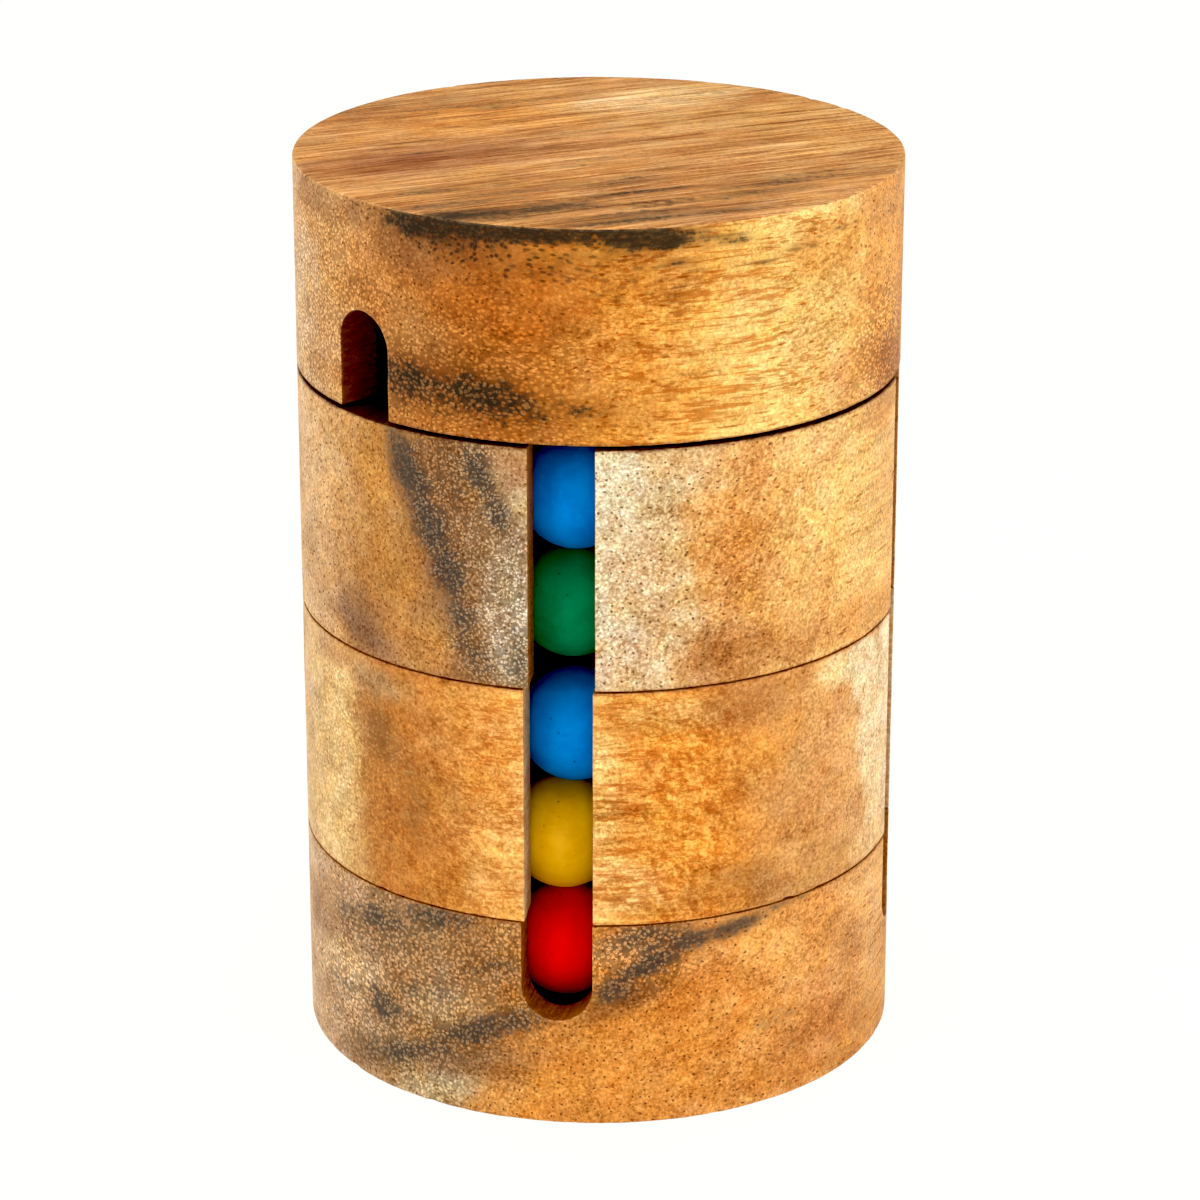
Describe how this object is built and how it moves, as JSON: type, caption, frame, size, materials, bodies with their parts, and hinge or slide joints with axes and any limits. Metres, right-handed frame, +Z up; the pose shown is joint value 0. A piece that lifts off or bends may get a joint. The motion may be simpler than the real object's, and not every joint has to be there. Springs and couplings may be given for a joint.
{
  "type": "ball sorting twist puzzle",
  "caption": "Wooden cylinder of stacked discs that turn about a hidden spindle, with coloured balls in vertical channels behind narrow slots and a free niche in the cap.",
  "frame": {"origin": "centre of the round underside, on the spindle axis", "axes": "+Z up along the spindle, -Y towards the front column of balls, +X to the right of someone facing that column"},
  "size_m": [0.063, 0.063, 0.0959],
  "materials": {
    "disc_wood": "satin oiled open-pored hardwood with strong figure",
    "dowel_wood": "plain sanded hardwood",
    "zinc_steel": "zinc plated",
    "spring_steel": "drawn spring wire",
    "paint_red": "satin paint",
    "paint_blue": "satin paint",
    "paint_green": "satin paint",
    "paint_yellow": "satin paint"
  },
  "bodies": {
    "base": {"base": "disc_wood", "base_plug": "dowel_wood"},
    "lower_ring": {"lower_ring": "disc_wood"},
    "upper_ring": {"upper_ring": "disc_wood"},
    "cap": {"cap": "disc_wood", "spindle": "dowel_wood", "spindle_washer": "zinc_steel", "spindle_screw": "zinc_steel", "spindle_spring": "spring_steel"},
    "ball_red_1": {"ball_red_1": "paint_red"},
    "ball_yellow_1": {"ball_yellow_1": "paint_yellow"},
    "ball_blue_1": {"ball_blue_1": "paint_blue"},
    "ball_green_1": {"ball_green_1": "paint_green"},
    "ball_blue_2": {"ball_blue_2": "paint_blue"},
    "ball_green_2": {"ball_green_2": "paint_green"},
    "ball_red_2": {"ball_red_2": "paint_red"},
    "ball_yellow_2": {"ball_yellow_2": "paint_yellow"},
    "ball_blue_3": {"ball_blue_3": "paint_blue"},
    "ball_red_3": {"ball_red_3": "paint_red"},
    "ball_yellow_3": {"ball_yellow_3": "paint_yellow"},
    "ball_green_3": {"ball_green_3": "paint_green"},
    "ball_red_4": {"ball_red_4": "paint_red"},
    "ball_yellow_4": {"ball_yellow_4": "paint_yellow"},
    "ball_green_4": {"ball_green_4": "paint_green"},
    "ball_blue_4": {"ball_blue_4": "paint_blue"},
    "ball_yellow_5": {"ball_yellow_5": "paint_yellow"},
    "ball_green_5": {"ball_green_5": "paint_green"},
    "ball_red_5": {"ball_red_5": "paint_red"},
    "ball_blue_5": {"ball_blue_5": "paint_blue"}
  },
  "joints": [
    {"name": "lower_ring_turn", "type": "hinge", "parent": "base", "child": "lower_ring", "pos_m": [0, 0, 0.0225], "axis": [0, 0, 1], "continuous": true},
    {"name": "upper_ring_turn", "type": "hinge", "parent": "lower_ring", "child": "upper_ring", "pos_m": [0, 0, 0.048], "axis": [0, 0, 1], "continuous": true},
    {"name": "cap_turn", "type": "hinge", "parent": "upper_ring", "child": "cap", "pos_m": [0, 0, 0.0738], "axis": [0, 0, 1], "continuous": true},
    {"name": "ball_red_1_lift", "type": "slide", "parent": "base", "child": "ball_red_1", "axis": [0, 0, 1], "range_m": [0, 0.00014]},
    {"name": "ball_yellow_1_lift", "type": "slide", "parent": "lower_ring", "child": "ball_yellow_1", "axis": [0, 0, 1], "range_m": [0, 0.0014]},
    {"name": "ball_blue_1_lift", "type": "slide", "parent": "lower_ring", "child": "ball_blue_1", "axis": [0, 0, 1], "range_m": [0, 0.0014]},
    {"name": "ball_green_1_lift", "type": "slide", "parent": "upper_ring", "child": "ball_green_1", "axis": [0, 0, 1], "range_m": [0, 0.0014]},
    {"name": "ball_blue_2_lift", "type": "slide", "parent": "upper_ring", "child": "ball_blue_2", "axis": [0, 0, 1], "range_m": [0, 0.0014]},
    {"name": "ball_green_2_lift", "type": "slide", "parent": "base", "child": "ball_green_2", "axis": [0, 0, 1], "range_m": [0, 0.00014]},
    {"name": "ball_red_2_lift", "type": "slide", "parent": "lower_ring", "child": "ball_red_2", "axis": [0, 0, 1], "range_m": [0, 0.0014]},
    {"name": "ball_yellow_2_lift", "type": "slide", "parent": "lower_ring", "child": "ball_yellow_2", "axis": [0, 0, 1], "range_m": [0, 0.0014]},
    {"name": "ball_blue_3_lift", "type": "slide", "parent": "upper_ring", "child": "ball_blue_3", "axis": [0, 0, 1], "range_m": [0, 0.0014]},
    {"name": "ball_red_3_lift", "type": "slide", "parent": "upper_ring", "child": "ball_red_3", "axis": [0, 0, 1], "range_m": [0, 0.0014]},
    {"name": "ball_yellow_3_lift", "type": "slide", "parent": "base", "child": "ball_yellow_3", "axis": [0, 0, 1], "range_m": [0, 0.00014]},
    {"name": "ball_green_3_lift", "type": "slide", "parent": "lower_ring", "child": "ball_green_3", "axis": [0, 0, 1], "range_m": [0, 0.0014]},
    {"name": "ball_red_4_lift", "type": "slide", "parent": "lower_ring", "child": "ball_red_4", "axis": [0, 0, 1], "range_m": [0, 0.0014]},
    {"name": "ball_yellow_4_lift", "type": "slide", "parent": "upper_ring", "child": "ball_yellow_4", "axis": [0, 0, 1], "range_m": [0, 0.0014]},
    {"name": "ball_green_4_lift", "type": "slide", "parent": "upper_ring", "child": "ball_green_4", "axis": [0, 0, 1], "range_m": [0, 0.0014]},
    {"name": "ball_blue_4_lift", "type": "slide", "parent": "base", "child": "ball_blue_4", "axis": [0, 0, 1], "range_m": [0, 0.00014]},
    {"name": "ball_yellow_5_lift", "type": "slide", "parent": "lower_ring", "child": "ball_yellow_5", "axis": [0, 0, 1], "range_m": [0, 0.0014]},
    {"name": "ball_green_5_lift", "type": "slide", "parent": "lower_ring", "child": "ball_green_5", "axis": [0, 0, 1], "range_m": [0, 0.0014]},
    {"name": "ball_red_5_lift", "type": "slide", "parent": "upper_ring", "child": "ball_red_5", "axis": [0, 0, 1], "range_m": [0, 0.0014]},
    {"name": "ball_blue_5_lift", "type": "slide", "parent": "upper_ring", "child": "ball_blue_5", "axis": [0, 0, 1], "range_m": [0, 0.0014]}
  ],
  "couplings": [
    {"joint": "ball_red_1_lift", "follows": "ball_yellow_1_lift", "ratio": 0.1},
    {"joint": "ball_blue_1_lift", "follows": "ball_yellow_1_lift", "ratio": 1},
    {"joint": "ball_green_1_lift", "follows": "ball_yellow_1_lift", "ratio": 1},
    {"joint": "ball_blue_2_lift", "follows": "ball_yellow_1_lift", "ratio": 1},
    {"joint": "ball_green_2_lift", "follows": "ball_red_2_lift", "ratio": 0.1},
    {"joint": "ball_yellow_2_lift", "follows": "ball_red_2_lift", "ratio": 1},
    {"joint": "ball_blue_3_lift", "follows": "ball_red_2_lift", "ratio": 1},
    {"joint": "ball_red_3_lift", "follows": "ball_red_2_lift", "ratio": 1},
    {"joint": "ball_yellow_3_lift", "follows": "ball_green_3_lift", "ratio": 0.1},
    {"joint": "ball_red_4_lift", "follows": "ball_green_3_lift", "ratio": 1},
    {"joint": "ball_yellow_4_lift", "follows": "ball_green_3_lift", "ratio": 1},
    {"joint": "ball_green_4_lift", "follows": "ball_green_3_lift", "ratio": 1},
    {"joint": "ball_blue_4_lift", "follows": "ball_yellow_5_lift", "ratio": 0.1},
    {"joint": "ball_green_5_lift", "follows": "ball_yellow_5_lift", "ratio": 1},
    {"joint": "ball_red_5_lift", "follows": "ball_yellow_5_lift", "ratio": 1},
    {"joint": "ball_blue_5_lift", "follows": "ball_yellow_5_lift", "ratio": 1}
  ]
}
